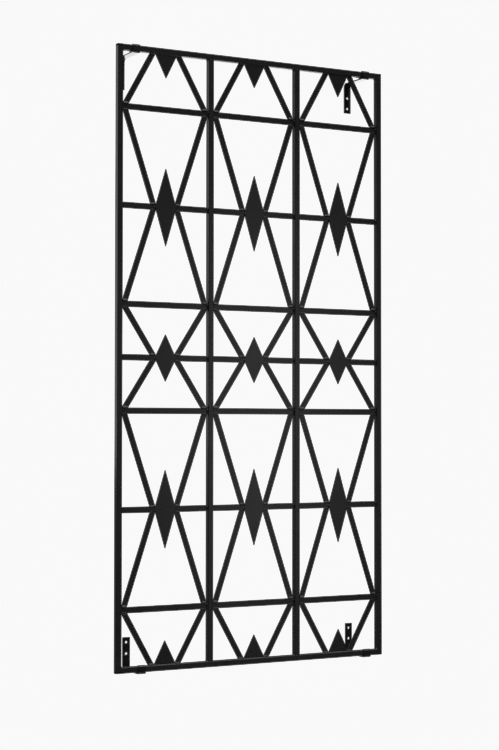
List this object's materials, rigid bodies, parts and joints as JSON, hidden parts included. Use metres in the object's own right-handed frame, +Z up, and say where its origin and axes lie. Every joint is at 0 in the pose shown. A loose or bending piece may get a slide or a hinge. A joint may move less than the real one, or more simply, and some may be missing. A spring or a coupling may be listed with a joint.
{
  "type": "metal garden trellis",
  "caption": "Tall black wall trellis of square tube filled with slanting flat bars and diamond plates, held off the wall by sliding hook brackets.",
  "frame": {"origin": "on the wall, midway between the two screw holes of the upper left bracket", "axes": "+X to the viewer's right along the panel, +Y towards the wall, +Z up"},
  "size_m": [0.9, 0.11, 1.8075],
  "materials": {
    "frame_paint": "black powder coat, satin",
    "plate_paint": "black powder coat, satin",
    "bracket_paint": "black paint, semi gloss",
    "plug_plastic": "moulded black plastic"
  },
  "bodies": {
    "panel": {"bottom_rail": "frame_paint", "braces_bottom_centre": "frame_paint", "braces_bottom_left": "frame_paint", "braces_bottom_right": "frame_paint", "braces_row_1_2_centre": "frame_paint", "braces_row_1_2_left": "frame_paint", "braces_row_1_2_right": "frame_paint", "braces_row_2_3_centre": "frame_paint", "braces_row_2_3_left": "frame_paint", "braces_row_2_3_right": "frame_paint", "braces_row_3_4_centre": "frame_paint", "braces_row_3_4_left": "frame_paint", "braces_row_3_4_right": "frame_paint", "braces_row_4_5_centre": "frame_paint", "braces_row_4_5_left": "frame_paint", "braces_row_4_5_right": "frame_paint", "braces_row_5_6_centre": "frame_paint", "braces_row_5_6_left": "frame_paint", "braces_row_5_6_right": "frame_paint", "braces_row_6_7_centre": "frame_paint", "braces_row_6_7_left": "frame_paint", "braces_row_6_7_right": "frame_paint", "braces_top_centre": "frame_paint", "braces_top_left": "frame_paint", "braces_top_right": "frame_paint", "cross_bars_row_1": "frame_paint", "cross_bars_row_2": "frame_paint", "cross_bars_row_3": "frame_paint", "cross_bars_row_4": "frame_paint", "cross_bars_row_5": "frame_paint", "cross_bars_row_6": "frame_paint", "cross_bars_row_7": "frame_paint", "diamond_row_2_centre": "plate_paint", "diamond_row_2_left": "plate_paint", "diamond_row_2_right": "plate_paint", "diamond_row_4_centre": "plate_paint", "diamond_row_4_left": "plate_paint", "diamond_row_4_right": "plate_paint", "diamond_row_6_centre": "plate_paint", "diamond_row_6_left": "plate_paint", "diamond_row_6_right": "plate_paint", "end_plugs": "plug_plastic", "mullion_left": "frame_paint", "mullion_right": "frame_paint", "stile_left": "frame_paint", "stile_right": "frame_paint", "top_rail": "frame_paint", "triangle_bottom_centre": "plate_paint", "triangle_bottom_left": "plate_paint", "triangle_bottom_right": "plate_paint", "triangle_top_centre": "plate_paint", "triangle_top_left": "plate_paint", "triangle_top_right": "plate_paint"},
    "bracket_lower_left": {"bracket_lower_left": "bracket_paint"},
    "bracket_lower_right": {"bracket_lower_right": "bracket_paint"},
    "bracket_upper_left": {"bracket_upper_left": "bracket_paint"},
    "bracket_upper_right": {"bracket_upper_right": "bracket_paint"}
  },
  "joints": [
    {"name": "slide_upper_left", "type": "slide", "parent": "panel", "child": "bracket_upper_left", "axis": [1, 0, 0], "range_m": [-0.0245, 0.0325]},
    {"name": "slide_upper_right", "type": "slide", "parent": "panel", "child": "bracket_upper_right", "axis": [1, 0, 0], "range_m": [-0.0315, 0.0255]},
    {"name": "slide_lower_left", "type": "slide", "parent": "panel", "child": "bracket_lower_left", "axis": [1, 0, 0], "range_m": [-0.0475, 0.011]},
    {"name": "slide_lower_right", "type": "slide", "parent": "panel", "child": "bracket_lower_right", "axis": [1, 0, 0], "range_m": [-0.036, 0.0225]}
  ]
}
